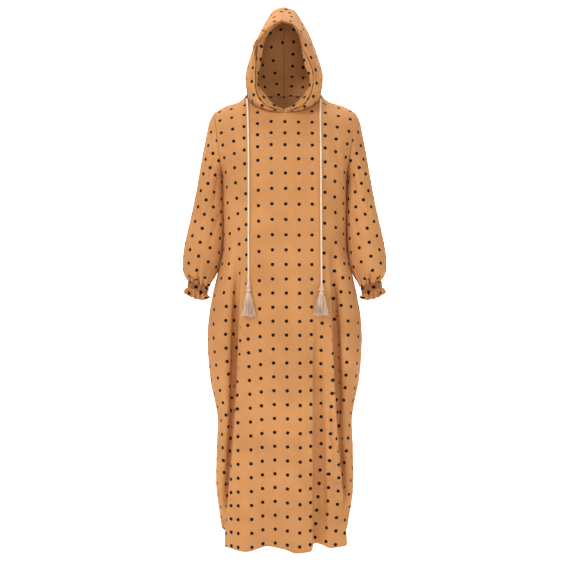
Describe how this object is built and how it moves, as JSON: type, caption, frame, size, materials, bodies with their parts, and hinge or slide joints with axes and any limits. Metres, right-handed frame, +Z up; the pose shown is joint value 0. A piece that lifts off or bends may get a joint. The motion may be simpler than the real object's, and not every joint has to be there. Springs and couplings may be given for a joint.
{
  "type": "abaya",
  "caption": "Hooded tan abaya with black polka dots, full sleeves gathered into smocked ruffled cuffs, and a cream drawcord with tassels, shown worn and hollow.",
  "frame": {"origin": "between the shoulders at the base of the neck, where the wearer's shoulders hold the garment up", "axes": "+Z up, the front faces -Y, the wearer's left is +X"},
  "size_m": [0.6328, 0.3139, 1.664],
  "materials": {
    "crepe": "matte",
    "cord": "matte",
    "tassel": "satin"
  },
  "bodies": {
    "root": {"front_panel_chest": "crepe", "front_panel_waist": "crepe", "front_panel_skirt": "crepe", "back_panel": "crepe", "sleeve_left": "crepe", "sleeve_right": "crepe", "cuff_left": "crepe", "cuff_right": "crepe", "hood_left": "crepe", "hood_right": "crepe", "hood_casing_left": "crepe", "hood_casing_right": "crepe", "drawcord_left": "cord", "drawcord_right": "cord", "tassel_left": "tassel", "tassel_right": "tassel"}
  },
  "joints": []
}
